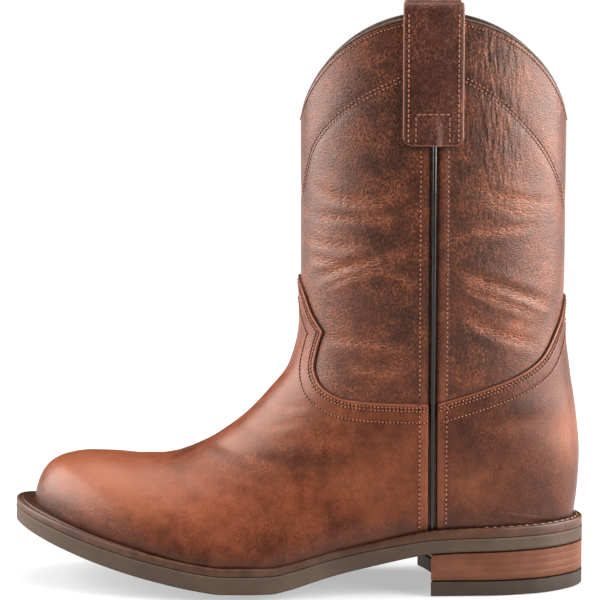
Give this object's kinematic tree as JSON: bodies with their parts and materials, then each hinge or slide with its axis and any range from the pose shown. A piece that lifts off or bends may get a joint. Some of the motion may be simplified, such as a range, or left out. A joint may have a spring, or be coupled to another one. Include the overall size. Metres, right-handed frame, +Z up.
{
  "type": "work boot",
  "caption": "Left pull-on leather work boot with a scalloped collar, side pull straps, a stitched vamp and counter, a welted rubber sole and a low stacked heel.",
  "frame": {"origin": "centre of the boot's outline on the floor", "axes": "+X to the heel, -X to the toe, -Y to the outer side of the foot, +Z up the shaft"},
  "size_m": [0.3034, 0.1029, 0.3084],
  "materials": {
    "outsole": "matt taupe rubber",
    "welt": "brown edge-dyed leather",
    "stack": "stacked leather, burnished",
    "lift": "matt dark rubber",
    "insole": "plain tan board",
    "leather": "waxed pull-up, satin",
    "vamp": "waxed pull-up, satin",
    "counter": "waxed pull-up, satin",
    "binding": "dark folded edge",
    "strap": "dark waxed, cracked",
    "piping": "dark corded piping"
  },
  "bodies": {
    "root": {"outsole": "outsole", "welt": "welt", "heel_stack": "stack", "heel_lift": "lift", "insole": "insole", "upper": "leather", "vamp": "vamp", "counter": "counter", "collar_binding": "binding", "pull_strap_outer": "strap", "pull_strap_inner": "strap", "side_piping_outer": "piping", "side_piping_inner": "piping"}
  },
  "joints": []
}
